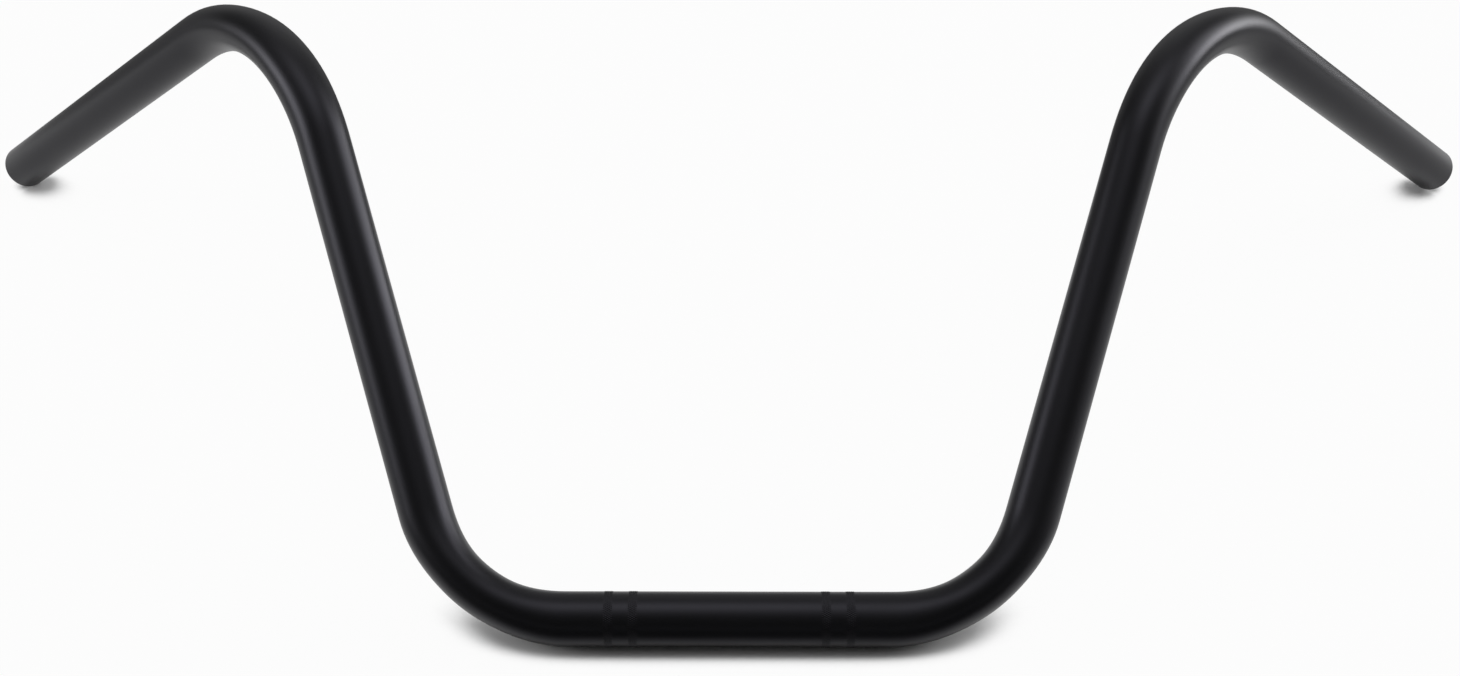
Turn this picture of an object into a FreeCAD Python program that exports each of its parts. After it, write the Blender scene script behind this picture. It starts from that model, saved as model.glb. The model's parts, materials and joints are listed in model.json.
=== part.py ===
"""Ape hanger handlebar: one round steel tube with four bends, lying on its clamp run and its grip ends.

The bar is drawn upright first: X along the clamp run, Y back towards the rider, Z up the arms.
It is then leaned back until the clamp run and the two grip ends stand on one flat floor.
The origin is the middle of the clamp run, on the tube's axis.
"""
import FreeCAD
import Part
import math
import os
from FreeCAD import Vector

# Driving dimensions, in millimetres and degrees
tube_diameter = 25.4        # the usual one-inch bar
tube_wall = 2.4
clamp_run_length = 150.0    # straight middle, between the low bends
low_bend_radius = 70.0      # bend radii are those of the centre line
arm_spread = 17.0           # each arm leans out from upright by this angle
arm_length = 188.0          # straight stretch between the bends
top_bend_radius = 100.0
grip_sweep = 50.0           # each grip turns back from straight sideways by this angle
grip_drop = 4.0             # and falls below level by this one
grip_length = 232.0         # straight stretch from the top bend to the open end
bend_squeeze = 1.3          # the tube's half-width lost in the plane of a bend, and gained across it
bend_easing = 0.2           # share of a bend in which its section eases from round to oval, at each end
end_bevel = 1.0             # bevel of the open ends' outer edges
mouth_bevel = 0.6           # bevel of the open ends' inner edges
riser_spacing = 100.0       # between the middles of the two riser clamps
strip_pitch = 11.3          # between the two raised strips under one clamp
strip_width = 4.2
strip_height = 0.15

# Sizes that follow from them
tube_radius = tube_diameter / 2
bore_radius = tube_radius - tube_wall
origin = Vector(0, 0, 0)
sideways = Vector(1, 0, 0)


class Bend:
    """A tangent arc of the centre line that turns one direction into another."""

    def __init__(self, start, along, turned, radius):
        self.start = start
        self.angle = along.getAngle(turned)
        self.axis = along.cross(turned).normalize()
        self.centre = start + self.axis.cross(along) * radius
        self.end = self.at(1)

    def at(self, share):
        """The centre line's point at a share of the bend's angle."""
        turn = FreeCAD.Rotation(self.axis, math.degrees(share * self.angle))
        return self.centre + turn.multVec(self.start - self.centre)

    def outline(self, share, radius):
        """The tube's section there: squeezed in the plane of the bend and as much wider across it."""
        middle = self.at(share)
        inward = (self.centre - middle).normalize()
        squeeze = bend_squeeze * min(share, 1 - share, bend_easing) / bend_easing
        oval = Part.Wire(Part.Ellipse(origin, radius + squeeze, radius - squeeze).toShape())
        facing = FreeCAD.Rotation(self.axis, inward, self.axis.cross(inward))
        oval.Placement = FreeCAD.Placement(middle, facing)
        return oval

    def tubes(self):
        """The bend in three: a ring of oval section, and at each end of it a stretch eased to round."""
        section = Part.Face([self.outline(bend_easing, tube_radius), self.outline(bend_easing, bore_radius)])
        turn = math.degrees(self.angle * (1 - 2 * bend_easing))
        ring = section.revolve(self.centre, self.axis, turn)
        return [self.eased(0, bend_easing), ring, self.eased(1 - bend_easing, 1)]

    def eased(self, first, last):
        """The stretch between two shares of the bend, round at one of them and oval at the other."""
        return self.rod(first, last, tube_radius).cut(self.rod(first, last, bore_radius))

    def rod(self, first, last, radius):
        """That stretch filled in: the section is carried along the arc while it changes."""
        arc = Part.Arc(self.at(first), self.at((first + last) / 2), self.at(last))
        sweep = Part.BRepOffsetAPI.MakePipeShell(Part.Wire(arc.toShape()))
        sweep.setFrenetMode(True)
        for share in (first, last):
            sweep.add(self.outline(share, radius), Part.Vertex(self.at(share)), False, False)
        sweep.build()
        sweep.makeSolid()
        return sweep.shape()


def upright(lean):
    """Direction of an arm that leans out sideways by an angle in degrees."""
    return Vector(math.sin(math.radians(lean)), 0, math.cos(math.radians(lean)))


def swept(back, down):
    """Direction that turns back from straight sideways and falls below level, in degrees."""
    level = math.cos(math.radians(down))
    turn = math.radians(back)
    return Vector(level * math.cos(turn), level * math.sin(turn), -math.sin(math.radians(down)))


# Centre line of the right half: clamp run, low bend, arm, top bend, grip
arm_along = upright(arm_spread)
grip_along = swept(grip_sweep, grip_drop)
low_bend = Bend(sideways * (clamp_run_length / 2), sideways, arm_along, low_bend_radius)
top_bend = Bend(low_bend.end + arm_along * arm_length, arm_along, grip_along, top_bend_radius)
grip_end = top_bend.end + grip_along * grip_length


def clamp_run():
    """The straight middle, turned about X, with a raised strip pair where each riser grips."""
    half = clamp_run_length / 2
    crest = tube_radius + strip_height
    edge = [Vector(-half, bore_radius, 0), Vector(-half, tube_radius, 0)]
    for riser in (-riser_spacing / 2, riser_spacing / 2):
        for strip in (riser - strip_pitch / 2, riser + strip_pitch / 2):
            left = strip - strip_width / 2
            right = strip + strip_width / 2
            edge.append(Vector(left, tube_radius, 0))
            edge.append(Vector(left + strip_height, crest, 0))
            edge.append(Vector(right - strip_height, crest, 0))
            edge.append(Vector(right, tube_radius, 0))
    edge += [Vector(half, tube_radius, 0), Vector(half, bore_radius, 0)]
    return Part.Face(Part.makePolygon(edge + edge[:1])).revolve(origin, sideways, 360)


def straight(start, along, length):
    """A straight stretch of the tube."""
    bore = Part.makeCylinder(bore_radius, length, start, along)
    return Part.makeCylinder(tube_radius, length, start, along).cut(bore)


def rim(tube, pick):
    """An edge of the grip's open end, picked by its length: max for the outer one, min for the inner."""
    edges = [edge for edge in tube.Edges if edge.CenterOfMass.distanceToPoint(grip_end) < 0.01]
    return pick(edges, key=lambda edge: edge.Length)


def grip():
    """The right grip, its open end bevelled outside and inside."""
    tube = straight(top_bend.end, grip_along, grip_length)
    tube = tube.makeChamfer(end_bevel, [rim(tube, max)])
    return tube.makeChamfer(mouth_bevel, [rim(tube, min)])


def lowest_of_grip(lean):
    """Height of the bevelled grip end's lowest point when the bar leans back by an angle in radians."""
    floor_up = Vector(0, -math.sin(lean), math.cos(lean))
    slope = grip_along.dot(floor_up)
    level = math.sqrt(1 - slope * slope)
    outer_rim = (grip_end - grip_along * end_bevel).dot(floor_up) - tube_radius * level
    end_rim = grip_end.dot(floor_up) - (tube_radius - end_bevel) * level
    return min(outer_rim, end_rim)


def resting_lean():
    """The lean in degrees that brings the grip ends down to the floor under the clamp run's strips."""
    floor = -(tube_radius + strip_height)
    too_little = 0.0
    too_much = math.pi / 2
    for _ in range(60):
        lean = (too_little + too_much) / 2
        if lowest_of_grip(lean) > floor:
            too_little = lean
        else:
            too_much = lean
    return math.degrees(lean)


def handlebar():
    """The whole bar, hollow from end to end, in its resting pose."""
    arm = straight(low_bend.end, arm_along, arm_length)
    right = low_bend.tubes() + [arm] + top_bend.tubes() + [grip()]
    left = [piece.mirror(origin, sideways) for piece in right]
    bar = clamp_run().fuse(right + left).removeSplitter()
    bar.rotate(origin, sideways, -resting_lean())
    return bar


os.makedirs("parts", exist_ok=True)
bar = handlebar()
bar.exportStep(os.path.join("parts", "handlebar.step"))

bent_length = low_bend.angle * low_bend_radius + top_bend.angle * top_bend_radius
tube_length = clamp_run_length + 2 * (arm_length + grip_length + bent_length)
plain_volume = math.pi * (tube_radius ** 2 - bore_radius ** 2) * tube_length
print("tube length", round(tube_length, 1), "mm, lean", round(resting_lean(), 2), "degrees")
print("solids", len(bar.Solids), "valid", bar.isValid())
print("volume over a plain tube's", round(bar.Volume / plain_volume, 4))
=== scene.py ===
# %% [markdown]
# # Ape hanger handlebar
# A tall motorcycle handlebar is bent from one length of steel tube and sprayed with black powder.
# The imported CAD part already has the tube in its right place, so this lesson dresses it.
# It works out the tube's skin again at a finer step, rolls knurled strips into it and gives it a finish.
# Then it lays the bar on a pale floor in a light tent and looks at it as the photographer did.

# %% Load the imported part
import json
import math

import bpy
import numpy as np
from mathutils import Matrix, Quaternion, Vector


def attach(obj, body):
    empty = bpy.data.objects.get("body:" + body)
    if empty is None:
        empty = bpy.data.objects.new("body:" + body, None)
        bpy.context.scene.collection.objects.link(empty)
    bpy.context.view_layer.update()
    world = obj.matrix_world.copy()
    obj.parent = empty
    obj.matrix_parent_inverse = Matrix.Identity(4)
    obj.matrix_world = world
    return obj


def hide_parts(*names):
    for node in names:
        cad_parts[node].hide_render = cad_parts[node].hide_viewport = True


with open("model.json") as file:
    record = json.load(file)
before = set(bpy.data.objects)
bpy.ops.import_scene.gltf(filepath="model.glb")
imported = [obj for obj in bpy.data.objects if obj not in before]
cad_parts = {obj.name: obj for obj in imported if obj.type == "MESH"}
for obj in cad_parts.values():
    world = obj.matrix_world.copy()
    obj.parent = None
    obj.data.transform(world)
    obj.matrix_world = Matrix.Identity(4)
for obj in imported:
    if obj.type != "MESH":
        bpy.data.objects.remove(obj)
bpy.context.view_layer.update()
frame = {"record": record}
mm_per_metre = 1000.0

# %% [markdown]
# ## The centre line
# A tube bender clamps a straight tube and wraps it round a die, one bend at a time.
# So the centre line is only straight stretches and arcs that meet without a corner.
# A hand-drawn curve would be quicker, but its bends would not have one radius as a die leaves it.
# The sizes below are the ones that the CAD part is built from, all but the easing of the bends:
# the CAD part squeezes the tube evenly over 0.2 of a bend, and the skin softly over 0.4 of it,
# so that the gloss runs on without a kink.

# %% Sizes of the bar, in millimetres and degrees
tube_radius = 12.7
tube_wall = 2.4
clamp_run_length = 150.0
low_bend_radius = 70.0
arm_spread = 17.0
arm_length = 188.0
top_bend_radius = 100.0
grip_sweep = 50.0
grip_drop = 4.0
grip_length = 232.0
bend_squeeze = 1.3
bend_easing = 0.4
end_bevel = 1.0
mouth_bevel = 0.6

bore_radius = tube_radius - tube_wall
print("a tube of", 2 * tube_radius, "mm outside and", round(2 * bore_radius, 1), "mm inside")

# %% Directions of the arm and the grip while the bar stands upright
spread, sweep, drop = np.radians([arm_spread, grip_sweep, grip_drop])
sideways = np.array([1.0, 0.0, 0.0])
arm_along = np.array([np.sin(spread), 0.0, np.cos(spread)])
grip_along = np.array([np.cos(drop) * np.cos(sweep), np.cos(drop) * np.sin(sweep), -np.sin(drop)])
print("the arm points along", arm_along.round(3), "and the grip along", grip_along.round(3))

# %% [markdown]
# ## Stations along the line
# A station is a place on the centre line with the frame that a ring of the skin is drawn in.
# On a straight the frame slides along, and in a bend it turns about the bend's axis with the line.
# Carried like that it never twists, so the long edges of the mesh run straight along the tube.
# Each station also knows how far the bend has squeezed the tube there, and in which direction.


# %% Turning vectors about an axis
def turned(vectors, axis, angles):
    """Rodrigues' formula: v cos(a) + (axis x v) sin(a) + axis (axis . v) (1 - cos(a)), for each angle a."""
    c = np.cos(angles)[:, None]
    s = np.sin(angles)[:, None]
    return vectors * c + np.cross(axis, vectors) * s + axis * (vectors @ axis) * (1 - c)


quarter = turned(sideways, np.array([0.0, 0.0, 1.0]), np.array([np.pi / 2]))
print("a quarter turn about Z takes X to", quarter[0].round(3))


# %% A straight stretch and a bend
def straight(start, axes, distances):
    """Stations at start + distance * along; the frame stays as it is and nothing is squeezed."""
    count = len(distances)
    centres = start + np.outer(distances, axes[0])
    return centres, np.tile(axes, (count, 1, 1)), np.zeros((count, 3)), np.zeros(count)


def bend(start, axes, leaving, radius, step):
    """Stations on an arc about a pivot that lies a radius away on the inside of the turn.

    The squeeze is bend_squeeze * (3 e^2 - 2 e^3): e rises over the eased share of the bend, holds at 1,
    and falls again at the far end, so the skin has no kink where the die takes hold and lets go.
    """
    angle = math.acos(axes[0] @ leaving)
    axis = np.cross(axes[0], leaving) / math.sin(angle)
    pivot = start + np.cross(axis, axes[0]) * radius
    share = np.linspace(0, 1, round(math.degrees(angle) / step) + 1)
    centres = pivot + turned(start - pivot, axis, share * angle)
    frames = np.stack([turned(vector, axis, share * angle) for vector in axes], axis=1)
    ease = np.minimum(np.minimum(share, 1 - share) / bend_easing, 1)
    squeeze = bend_squeeze * ease ** 2 * (3 - 2 * ease)
    return centres, frames, (pivot - centres) / radius, squeeze


print("the squeeze of a bend rises over", bend_easing, "of it at each end, to", bend_squeeze, "mm")

# %% The right-hand side of the line, from the clamp run to the open end
lip_room = 1.5 * end_bevel


def right_hand_side(step, rows):
    """Low bend, arm, top bend and grip, one after the other, with a station on each joint given once.

    The grip stops short of the open end, to leave room for the lip.
    """
    start = sideways * clamp_run_length / 2
    axes = np.array([sideways, [0.0, 1.0, 0.0], [0.0, 0.0, 1.0]])
    low = bend(start, axes, arm_along, low_bend_radius, step)
    arm = straight(low[0][-1], low[1][-1], np.linspace(0, arm_length, rows))
    top = bend(arm[0][-1], arm[1][-1], grip_along, top_bend_radius, step)
    grip = straight(top[0][-1], top[1][-1], np.linspace(0, grip_length - lip_room, rows))
    joined = [np.concatenate([low[i], arm[i][1:], top[i][1:], grip[i][1:]]) for i in range(4)]
    return joined, top[0][-1]


outer_line, grip_start = right_hand_side(step=2.5, rows=9)
bore_line, _ = right_hand_side(step=5.0, rows=5)
print(len(outer_line[0]), "stations outside and", len(bore_line[0]), "inside")
print("the grip starts at", grip_start.round(1), "mm")

# %% [markdown]
# ## The skin as rings
# A ring is a circle of points round a station: centre + radius * (cos(v) * second + sin(v) * third axis).
# In a bend the die flattens the tube, so each point moves in along the bend's plane and out across it.
# That gives the slight oval that tells a bent tube from a cast one, most clearly at the two top bends.
# Doing this with whole arrays draws every ring of a stretch at once.

# %% Rings round the stations
points_round = 120


def circle(count):
    """Angles of a ring's points, evenly spaced over one turn."""
    return np.linspace(0, 2 * np.pi, count, endpoint=False)


def rings(line, radius):
    """Points at centre + radius * p + squeeze * ((p . across) across - (p . inward) inward).

    Here p is the unit vector from the centre line to the skin.
    """
    centres, frames, inward, squeeze = line
    across = np.cross(frames[:, 0], inward)
    v = circle(points_round)
    radial = np.cos(v)[:, None] * frames[:, None, 1] + np.sin(v)[:, None] * frames[:, None, 2]
    out = (radial * across[:, None]).sum(2, keepdims=True) * across[:, None]
    into = (radial * inward[:, None]).sum(2, keepdims=True) * inward[:, None]
    return centres[:, None] + radius * radial + squeeze[:, None, None] * (out - into)


outer_right = rings(outer_line, tube_radius)
bore_right = rings(bore_line, bore_radius)[:-1]
print("outer skin of one side:", outer_right.shape[0], "rings of", outer_right.shape[1], "points")

# %% [markdown]
# ## The open ends
# The tube is sawn off, filed and then coated, so both edges of the cut are bevelled and soft.
# A profile of distance along the grip and radius, turned round the grip's axis, gives the lip in one go.
# The coat flows back from sharp corners, so each of the bevels' four corners is cut by two points.

# %% The lip, from the outer wall round to the bore
soft = 0.25     # how far the coat draws back from a corner, in mm
skim = 0.01     # keeps the lip's first and last ring off the plain walls, in mm


def lip():
    """Rings at grip start + t * along with radius r, where (t, r) runs from the outer wall to the bore."""
    r_end, r_mouth = tube_radius - end_bevel, bore_radius + mouth_bevel
    t = grip_length + np.array([-end_bevel - soft, -end_bevel + 0.5 * soft, -0.5 * soft, 0,
                                0, -0.5 * soft, -mouth_bevel + 0.5 * soft, -mouth_bevel - soft])
    r = np.array([tube_radius - skim, tube_radius - 0.6 * soft, r_end + 0.4 * soft, r_end - soft,
                  r_mouth + soft, r_mouth - 0.4 * soft, bore_radius + 0.6 * soft, bore_radius + skim])
    axes = outer_line[1][-1]
    v = circle(points_round)
    radial = np.cos(v)[:, None] * axes[1] + np.sin(v)[:, None] * axes[2]
    return (grip_start + np.outer(t, axes[0]))[:, None] + r[:, None, None] * radial


lip_right = lip()
print("the lip has", len(lip_right), "rings")

# %% [markdown]
# ## The knurled strips
# Riser clamps would let a smooth bar turn in them, so makers roll narrow strips of diamond knurl
# into the clamp run, a pair under each clamp. On a coated bar they show as dark, rough rings.
# A bump in the material would vanish in the exported mesh, so the teeth are real:
# two families of helical ridges, left-hand and right-hand, whose product leaves the diamonds.
# The wheel presses the valleys a little below the tube's surface and raises the teeth above it.

# %% The teeth of one strip, in millimetres
riser_spacing = 100.0
strip_pitch = 11.3
strip_width = 4.2
strip_height = 0.15
teeth_round = 80
tooth_length = 1.75
tooth_depth = 0.24
strip_fade = 0.4
fine_round = 4 * points_round
strip_rows = 19


def strip(middle):
    """Radius = tube_radius + fade * (strip_height - tooth_depth * (1 - sqrt(right_hand * left_hand))).

    The two hands are ridges, (1 + cos(n v + k x)) / 2 and (1 + cos(n v - k x)) / 2, with n teeth round.
    The fade falls from 1 to 0 at the edges of the strip.
    """
    x = np.linspace(-strip_width / 2, strip_width / 2, strip_rows)[:, None]
    v = circle(fine_round)[None, :]
    right_hand = (1 + np.cos(teeth_round * v + 2 * np.pi * x / tooth_length)) / 2
    left_hand = (1 + np.cos(teeth_round * v - 2 * np.pi * x / tooth_length)) / 2
    fade = np.clip((strip_width / 2 - np.abs(x)) / strip_fade, 0, 1)
    r = tube_radius + fade * (strip_height - tooth_depth * (1 - np.sqrt(right_hand * left_hand)))
    return np.stack([middle + x + 0 * v, r * np.cos(v), r * np.sin(v)], axis=2)


strip_middles = [side * riser_spacing / 2 + half * strip_pitch / 2 for side in (-1, 1) for half in (-1, 1)]
strips = [strip(middle) for middle in strip_middles]
print("strips at", strip_middles, "mm,", teeth_round, "teeth round, pitch",
      round(2 * math.pi * tube_radius / teeth_round, 2), "mm")

# %% [markdown]
# ## One closed mesh
# The skin runs from the left end to the right end, over the lip, back through the bore and over the
# other lip to where it began, so it closes like a ring doughnut and has no open edge.
# The strips have four times as many points round as the rest. Between them and the plain tube
# lies one band of faces with two corners on the plain side and five on the fine side.

# %% Plain rings of the clamp run, and the blocks in order
mirror = np.array([-1.0, 1.0, 1.0])
bore_ring_step = 40.0
band_width = 0.35


def plain(positions):
    """Rings of the clamp run at the given x."""
    v = circle(points_round)[None, :]
    x = np.array(positions)[:, None] + 0 * v
    return np.stack([x, tube_radius * np.cos(v) + 0 * x, tube_radius * np.sin(v) + 0 * x], axis=2)


def bore_of_clamp_run():
    """Rings of the bore between the two low bends, from right to left."""
    narrower = bore_radius / tube_radius
    return plain([bore_ring_step, 0, -bore_ring_step]) * [1, narrower, narrower]


margin = strip_width / 2 + band_width
one, two, three, four = strip_middles
way_back = [lip_right, bore_right[::-1], bore_of_clamp_run(), bore_right * mirror, lip_right[::-1] * mirror]
blocks = [
    np.concatenate([outer_right[::-1] * mirror, plain([one - margin])]),
    strips[0],
    plain([one + margin, two - margin]),
    strips[1],
    plain([two + margin, 0, three - margin]),
    strips[2],
    plain([three + margin, four - margin]),
    strips[3],
    np.concatenate([plain([four + margin]), outer_right] + way_back),
]
print("rings in each block:", [len(block) for block in blocks])


# %% Faces inside a block, and bands between blocks
def net(first, rows, columns):
    """Faces of four corners between neighbouring rings; point (i, j) is number first + i * columns + j."""
    i = np.arange(rows - 1)[:, None]
    j = np.arange(columns)[None, :]
    k = (j + 1) % columns
    corners = [i * columns + j, i * columns + k, (i + 1) * columns + k, (i + 1) * columns + j]
    return first + np.stack(corners, axis=2).reshape(-1, 4)


def band(ring_a, ring_b):
    """Faces between two rings of point numbers; where one is finer, its points are shared out evenly."""
    flip = len(ring_a) > len(ring_b)
    coarse, fine = (ring_b, ring_a) if flip else (ring_a, ring_b)
    ratio = len(fine) // len(coarse)
    j = np.arange(len(coarse))[:, None]
    near = coarse[(j + np.array([[0, 1]])) % len(coarse)]
    far = fine[(j * ratio + np.arange(ratio, -1, -1)[None, :]) % len(fine)]
    faces = np.concatenate([near, far], axis=1)
    return faces[:, ::-1] if flip else faces


numbers = []
total = 0
for block in blocks:
    rows, columns = block.shape[:2]
    numbers.append(total + np.arange(rows * columns).reshape(rows, columns))
    total += rows * columns

faces = [net(grid[0, 0], *grid.shape) for grid in numbers]
following = numbers[1:] + numbers[:1]
faces += [band(grid[-1], after[0]) for grid, after in zip(numbers, following)]
upright = np.concatenate([block.reshape(-1, 3) for block in blocks])
print(total, "points and", sum(len(part) for part in faces), "faces")

# %% [markdown]
# ## Leaning the bar back
# Everything so far stands upright. At rest the bar lies on its clamp run and its two grip ends.
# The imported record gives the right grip's direction in that pose, so the lean is read off it:
# it is the angle, seen along the clamp run, between that direction and the upright one.

# %% Turn the points into the resting pose
mount = next(m for m in frame["record"]["mounts"] if m["name"] == "right_grip")
lean = math.atan2(grip_along[2], grip_along[1]) - math.atan2(mount["axis"][2], mount["axis"][1])
x, y, z = upright.T
resting = np.stack([x, y * np.cos(lean) + z * np.sin(lean), z * np.cos(lean) - y * np.sin(lean)], axis=1)
print("lean", round(math.degrees(lean), 2), "degrees; lowest point", round(resting[:, 2].min(), 2), "mm")

# %% How deep each point lies in the bore, as its distance from the nearer open end
open_end = grip_start + grip_along * grip_length
rings_before_bore = 1 + len(outer_right) + len(lip_right)
in_bore = slice(rings_before_bore, len(blocks[-1]) - len(lip_right))
to_right = np.linalg.norm(blocks[-1][in_bore] - open_end, axis=2)
to_left = np.linalg.norm(blocks[-1][in_bore] - open_end * mirror, axis=2)
depth = np.zeros(total)
depth[numbers[-1][in_bore]] = np.minimum(to_right, to_left)
print("deepest point of the bore:", round(depth.max()), "mm from an open end")


# %% Put the mesh together
def make_mesh(name, points, polygons):
    """A mesh with smooth faces that point outwards, with its volume and its number of triangles.

    The volume is a sixth of the sum of p . (q x r) over the triangles, and has to come out positive.
    """
    mesh = bpy.data.meshes.new(name)
    mesh.from_pydata(points, [], [face for part in polygons for face in part.tolist()])
    mesh.update()
    mesh.shade_smooth()
    fan = np.concatenate([part[:, [0, k, k + 1]] for part in polygons for k in range(1, part.shape[1] - 1)])
    p, q, r = points[fan[:, 0]], points[fan[:, 1]], points[fan[:, 2]]
    volume = (p * np.cross(q, r)).sum() / 6
    if volume < 0:
        mesh.flip_normals()
    return mesh, abs(volume), len(fan)


steel_density = 7850.0      # kilograms in a cubic metre
skin, volume, triangles = make_mesh("handlebar_skin", resting / mm_per_metre, faces)
skin.attributes.new("bore_depth", "FLOAT", "POINT").data.foreach_set("value", depth.astype(np.float32))
bar = bpy.data.objects.new("handlebar_skin", skin)
bpy.context.scene.collection.objects.link(bar)
print(triangles, "triangles of skin")
print("steel", round(volume * 1e6, 1), "cm3, so", round(volume * steel_density, 2), "kg")

# %% Let it stand for the CAD node and ride on its body
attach(bar, "root")
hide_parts("handlebar")
print(bar.name, "rides on root and replaces handlebar")

# %% [markdown]
# ## Satin black powder coat
# Powder is sprayed on dry, clings by static and melts to a skin of polyester about 0.1 mm thick.
# It is a black plastic over steel: no metal shows, and the sheen is that of a plastic of index 1.5.
# The melt leaves a faint orange peel of soft humps a few millimetres wide, and satin powders scatter
# the reflection, so edges of lights look blurred on the bar. Inside, the spray reaches only a short way in.
# An image texture would need an unwrapped mesh, so noise in the object's own millimetres is used instead.


# %% Helpers for colours and nodes
def linear(hex_colour):
    """An sRGB hex value as linear red, green, blue and an opaque alpha."""
    channels = np.array([int(hex_colour[i:i + 2], 16) for i in (1, 3, 5)]) / 255
    curve = np.where(channels <= 0.04045, channels / 12.92, ((channels + 0.055) / 1.055) ** 2.4)
    return (*curve.tolist(), 1.0)


def add(tree, kind, links=None, values=None, **settings):
    """A node with its settings, its sockets' own values, and links into it from other nodes' sockets."""
    node = tree.nodes.new(kind)
    for name, value in settings.items():
        setattr(node, name, value)
    for socket, value in (values or {}).items():
        node.inputs[socket].default_value = value
    for socket, source in (links or {}).items():
        tree.links.new(source, node.inputs[socket])
    return node


print("the sRGB grey #808080 is", round(linear("#808080")[0], 3), "in linear light")

# %% Sizes of the coat's patterns, in millimetres, and its roughness
hump_width = 2.5
hump_height = 0.06
hump_share = 0.12           # the bump shows this share of that height
patch_width = 45.0          # the gloss drifts over areas of this size
coated_depth = 10.0         # spray covers the bore this far in
bare_depth = 40.0           # and has ended here
satin_roughness = (0.32, 0.37)
steel_roughness = 0.45
print("humps", hump_width, "mm wide and", round(hump_share * hump_height * 1000), "micrometres high")


# %% The coat
def black_powder_coat():
    """Black polyester with orange peel outside, fading to bare drawn steel in the bore."""
    material = bpy.data.materials.new("satin_black_powder_coat")
    material.use_nodes = True
    tree = material.node_tree
    tree.nodes.clear()
    place = add(tree, "ShaderNodeTexCoord").outputs["Object"]

    # Orange peel: soft humps of melted powder
    peel = add(tree, "ShaderNodeTexNoise", {"Vector": place},
               {"Scale": mm_per_metre / hump_width, "Detail": 1.0, "Roughness": 0.4})
    bump = add(tree, "ShaderNodeBump", {"Height": peel.outputs["Fac"]},
               {"Strength": hump_share, "Distance": hump_height / mm_per_metre})

    # The gloss drifts a little, as the powder lay thicker or thinner; the noise runs from about 0.3 to 0.7
    drift = add(tree, "ShaderNodeTexNoise", {"Vector": place},
                {"Scale": mm_per_metre / patch_width, "Detail": 3.0, "Roughness": 0.55})
    gloss = add(tree, "ShaderNodeMapRange", {"Value": drift.outputs["Fac"]},
                {"From Min": 0.3, "From Max": 0.7,
                 "To Min": satin_roughness[0], "To Max": satin_roughness[1]})

    # The spray thins out in the bore, and the drawn steel behind it is bare
    inside = add(tree, "ShaderNodeAttribute", attribute_name="bore_depth").outputs["Fac"]
    bare = add(tree, "ShaderNodeMapRange", {"Value": inside},
               {"From Min": coated_depth, "From Max": bare_depth},
               interpolation_type="SMOOTHSTEP").outputs["Result"]

    # Sockets 6 and 7 of a Mix node are its two colours, and 2 is the mixed one
    colour = add(tree, "ShaderNodeMix", {"Factor": bare}, {6: linear("#141415"), 7: linear("#8a8784")},
                 data_type="RGBA")
    rough = add(tree, "ShaderNodeMix", {"Factor": bare, "A": gloss.outputs["Result"]},
                {"B": steel_roughness})

    # The matting agent in satin powder leaves less than half of a plain plastic's sheen, faintly cool
    skin_shader = add(tree, "ShaderNodeBsdfPrincipled",
                      {"Base Color": colour.outputs[2], "Roughness": rough.outputs["Result"],
                       "Metallic": bare, "Normal": bump.outputs["Normal"]},
                      {"IOR": 1.5, "Specular IOR Level": 0.205, "Specular Tint": linear("#eeecff")})
    add(tree, "ShaderNodeOutputMaterial", {"Surface": skin_shader.outputs["BSDF"]})
    return material


skin.materials.append(black_powder_coat())
print("finish:", skin.materials[0].name)

# %% [markdown]
# ## The light tent
# The photograph is a studio shot on seamless white. A light tent gives such a picture: lit cloths behind,
# overhead and at both sides, and an open front where the photographer stands in the dark.
# That dark front is what keeps the face of each tube black between its pale streaks.
# Lamps would light the near floor more than the far floor, so the tent is painted into the world instead:
# it is equally far from everywhere. Each cloth is brightest in its middle and fades softly to all sides.

# %% The tent's cloths
# Azimuth is 0 at the photographer, 90 to the right and 180 behind the bar; elevation is above the floor.
# A larger fall makes a narrower light: a fall of 40 is about 20 degrees wide at half its strength,
# and a fall of 12 about 40 degrees.
cloths = [
    {"name": "low strip on the right", "azimuth": 120, "elevation": 6, "fall": 40, "strength": 9.7},
    {"name": "strip on the right", "azimuth": 105, "elevation": 20, "fall": 40, "strength": 9.8},
    {"name": "upper strip on the right", "azimuth": 120, "elevation": 40, "fall": 40, "strength": 3.6},
    {"name": "strip on the left", "azimuth": 270, "elevation": 20, "fall": 40, "strength": 11.0},
    {"name": "back wall", "azimuth": 180, "elevation": 30, "fall": 12, "strength": 0.62},
    {"name": "roof on the left", "azimuth": 240, "elevation": 60, "fall": 12, "strength": 0.3},
    {"name": "roof", "azimuth": 180, "elevation": 90, "fall": 12, "strength": 1.15},
    {"name": "lamp on the roof", "azimuth": 180, "elevation": 80, "fall": 25, "strength": 1.95},
]
haze_strength = 0.3
haze_top = 13.0     # degrees above the floor at which the haze ends
haze_full = 7.8     # and below which it has its full strength


def towards(azimuth, elevation):
    """Unit direction: (cos(e) sin(a), -cos(e) cos(a), sin(e))."""
    a, e = math.radians(azimuth), math.radians(elevation)
    return Vector((math.cos(e) * math.sin(a), -math.cos(e) * math.cos(a), math.sin(e)))


world = bpy.data.worlds.new("light_tent")
bpy.context.scene.world = world
world.use_nodes = True
tent = world.node_tree
tent.nodes.clear()
facing = add(tent, "ShaderNodeTexCoord").outputs["Generated"]

# A low band of haze all round, so that the far edge of the floor is pale from every side
height = add(tent, "ShaderNodeSeparateXYZ", {"Vector": facing}).outputs["Z"]
glow = add(tent, "ShaderNodeMapRange", {"Value": height},
           {"From Min": math.sin(math.radians(haze_top)), "From Max": math.sin(math.radians(haze_full)),
            "To Min": 0.0, "To Max": haze_strength}, interpolation_type="SMOOTHSTEP").outputs["Result"]

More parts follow.
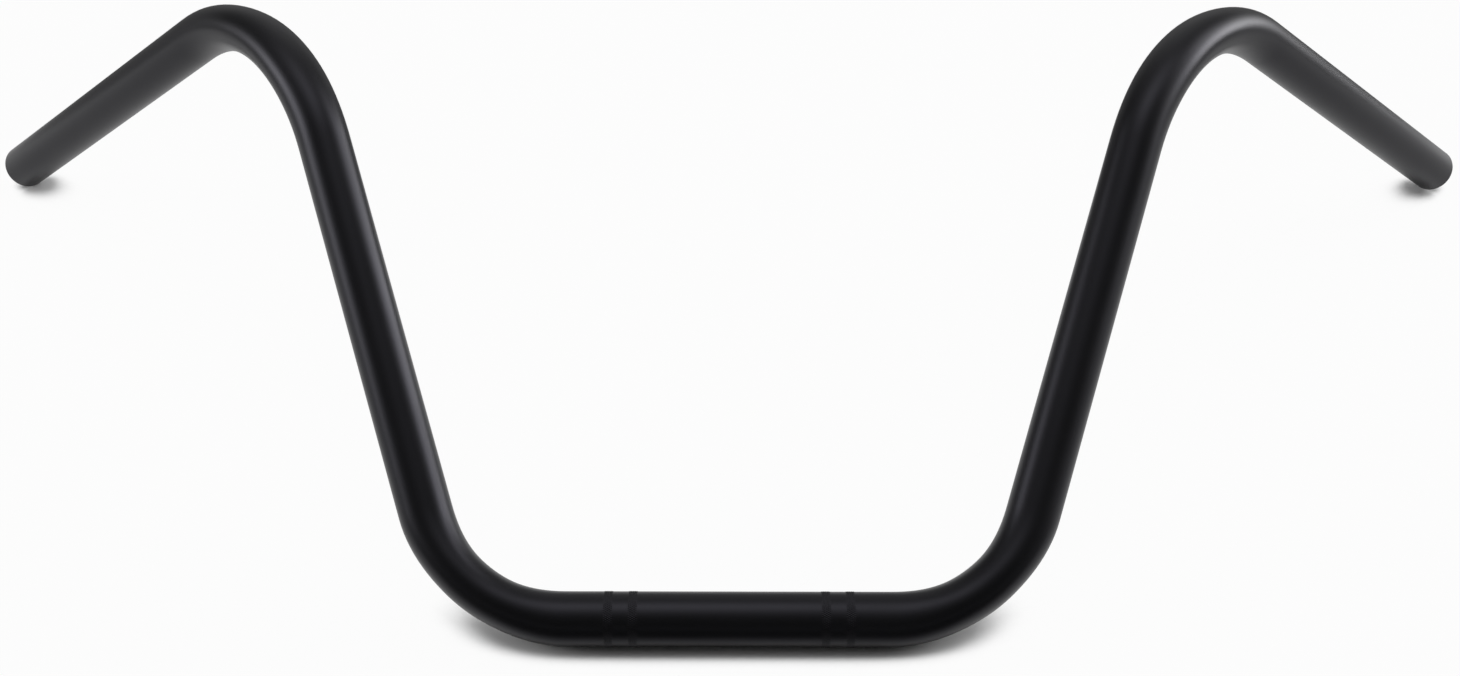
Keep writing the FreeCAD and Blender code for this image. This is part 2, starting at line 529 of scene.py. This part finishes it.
# strength * exp(fall * (cos(angle) - 1)), written as one power of e for each cloth
for cloth in cloths:
    middle = towards(cloth["azimuth"], cloth["elevation"])
    cosine = add(tent, "ShaderNodeVectorMath", {0: facing}, {1: middle}, operation="DOT_PRODUCT")
    fade = add(tent, "ShaderNodeMath", {0: cosine.outputs["Value"]},
               {1: cloth["fall"], 2: math.log(cloth["strength"]) - cloth["fall"]}, operation="MULTIPLY_ADD")
    lit = add(tent, "ShaderNodeMath", {0: fade.outputs["Value"]}, operation="EXPONENT")
    glow = add(tent, "ShaderNodeMath", {0: glow, 1: lit.outputs["Value"]}, operation="ADD").outputs["Value"]
light = add(tent, "ShaderNodeBackground", {"Strength": glow}, {"Color": linear("#ffffff")})
add(tent, "ShaderNodeOutputWorld", {"Surface": light.outputs["Background"]})
print("cloths:", ", ".join(cloth["name"] for cloth in cloths))

# %% [markdown]
# ## The paper floor
# The paper is exposed to plain white, and only where the bar comes close does it fall into shade.
# More light would bring that white too, but it would grey the black coat as well.
# So the paper gives the camera and the reflections a plain white of its own wherever it is open to the sky.
# Close to the bar an occlusion mask fades that white out as painted shade, leaving the paper to the tent's
# light, which keeps the real shadow that the bar stands in.
# In the coat's reflections the white is painted darker beyond a sheet little larger than the picture, a
# painted shade for the room.

# %% Where the paper gets painted shade and plain white, in metres
painted_shade_reach = 0.04              # how far the bar can be and still add painted shade to the paper
painted_shade_full = 0.44               # share of open sky at which the painted shade is full and the paper is left to the tent's light
painted_shade_gone = 0.66               # and at which it is plain white
white_share = 0.98
reflected_white_front = (-0.04, -0.01)      # in reflections the white is painted in between these places along Y, in front of the bar
reflected_white_back = (0.42, 0.6)          # and is painted darker again between these, behind the bar
painted_room_shade = 0.25               # down to this share of its white, a painted shade for the room
print("in reflections the paper is white from", reflected_white_front[1], "to", reflected_white_back[0], "m behind the clamp run")


# %% The paper
def white_paper():
    """Matt paper; away from the bar, camera, glossy and transmission rays see plain white, and near it
    painted shade.

    Glossy and transmission rays see that white painted darker beyond a sheet round the bar, as painted
    shade.
    """
    material = bpy.data.materials.new("seamless_white_paper")
    material.use_nodes = True
    tree = material.node_tree
    tree.nodes.clear()
    sheet = add(tree, "ShaderNodeBsdfDiffuse", None, {"Color": linear("#dcdcdc")})
    # How much of the sky the bar hides, which fades the white into painted shade close to it
    open_sky = add(tree, "ShaderNodeAmbientOcclusion", None, {"Distance": painted_shade_reach}, samples=24)
    clear = add(tree, "ShaderNodeMapRange", {"Value": open_sky.outputs["AO"]},
                {"From Min": painted_shade_full, "From Max": painted_shade_gone, "To Max": white_share},
                interpolation_type="SMOOTHSTEP")
    path = add(tree, "ShaderNodeLightPath")

    # The camera sees full white everywhere; for the other rays the white is painted darker beyond the
    # sheet, a painted shade for the room
    place = add(tree, "ShaderNodeTexCoord").outputs["Object"]
    away = add(tree, "ShaderNodeSeparateXYZ", {"Vector": place}).outputs["Y"]
    front = add(tree, "ShaderNodeMapRange", {"Value": away},
                {"From Min": reflected_white_front[0], "From Max": reflected_white_front[1]}, interpolation_type="SMOOTHSTEP")
    back = add(tree, "ShaderNodeMapRange", {"Value": away},
               {"From Min": reflected_white_back[0], "From Max": reflected_white_back[1], "To Min": 1.0, "To Max": painted_room_shade},
               interpolation_type="SMOOTHSTEP")
    mirrored = add(tree, "ShaderNodeMath", {0: front.outputs["Result"], 1: back.outputs["Result"]},
                   operation="MULTIPLY")
    level = add(tree, "ShaderNodeMath", {0: path.outputs["Is Camera Ray"], 1: mirrored.outputs["Value"]},
                operation="MAXIMUM")
    white = add(tree, "ShaderNodeEmission", {"Strength": level.outputs["Value"]},
                {"Color": linear("#fdfdfd")})

    # The white shows to these three kinds of ray, and only where the paper is clear of the bar; nearer, it
    # fades into painted shade
    seen = add(tree, "ShaderNodeMath", {0: path.outputs["Is Camera Ray"], 1: path.outputs["Is Glossy Ray"]},
               operation="MAXIMUM")
    seen = add(tree, "ShaderNodeMath", {0: seen.outputs["Value"], 1: path.outputs["Is Transmission Ray"]},
               operation="MAXIMUM")
    share = add(tree, "ShaderNodeMath", {0: seen.outputs["Value"], 1: clear.outputs["Result"]},
                operation="MULTIPLY")
    mixed = add(tree, "ShaderNodeMixShader",
                {"Fac": share.outputs["Value"], 1: sheet.outputs["BSDF"], 2: white.outputs["Emission"]})
    add(tree, "ShaderNodeOutputMaterial", {"Surface": mixed.outputs["Shader"]})
    return material


paper = white_paper()
print("paper:", paper.name)

# %% The floor
floor_size = 40.0
floor_height = resting[:, 2].min() / mm_per_metre
half = floor_size / 2
corners = np.array([[-half, -half, floor_height], [half, -half, floor_height],
                    [half, half, floor_height], [-half, half, floor_height]])
floor_mesh = bpy.data.meshes.new("floor")
floor_mesh.from_pydata(corners, [], [[0, 1, 2, 3]])
floor_mesh.materials.append(paper)
floor = bpy.data.objects.new("floor", floor_mesh)
bpy.context.scene.collection.objects.link(floor)
print("floor at", round(floor_height * mm_per_metre, 2), "mm")

# %% [markdown]
# ## The camera
# The photograph looks down on the bar by about 38 degrees from in front, with the clamp run nearest.
# The place and the focal length come from fitting the bar's outline to the picture's.

# %% Place the camera
camera_data = bpy.data.cameras.new("camera")
camera_data.sensor_width = 36.0
camera_data.lens = 50.68
camera_data.clip_end = 100.0
camera = bpy.data.objects.new("camera", camera_data)
bpy.context.scene.collection.objects.link(camera)
stand = Vector((-1.735, -664.994, 690.047)) / mm_per_metre
looked_at = Vector((0.137, 133.653, 60.0)) / mm_per_metre
tilt = math.radians(0.207)
camera.rotation_mode = "QUATERNION"
camera.location = stand
camera.rotation_quaternion = (looked_at - stand).to_track_quat("-Z", "Y") @ Quaternion((0, 0, 1), tilt)
bpy.context.scene.camera = camera
bpy.context.scene.view_settings.view_transform = "Standard"
print("camera", round((looked_at - stand).length, 3), "m from the point it looks at")
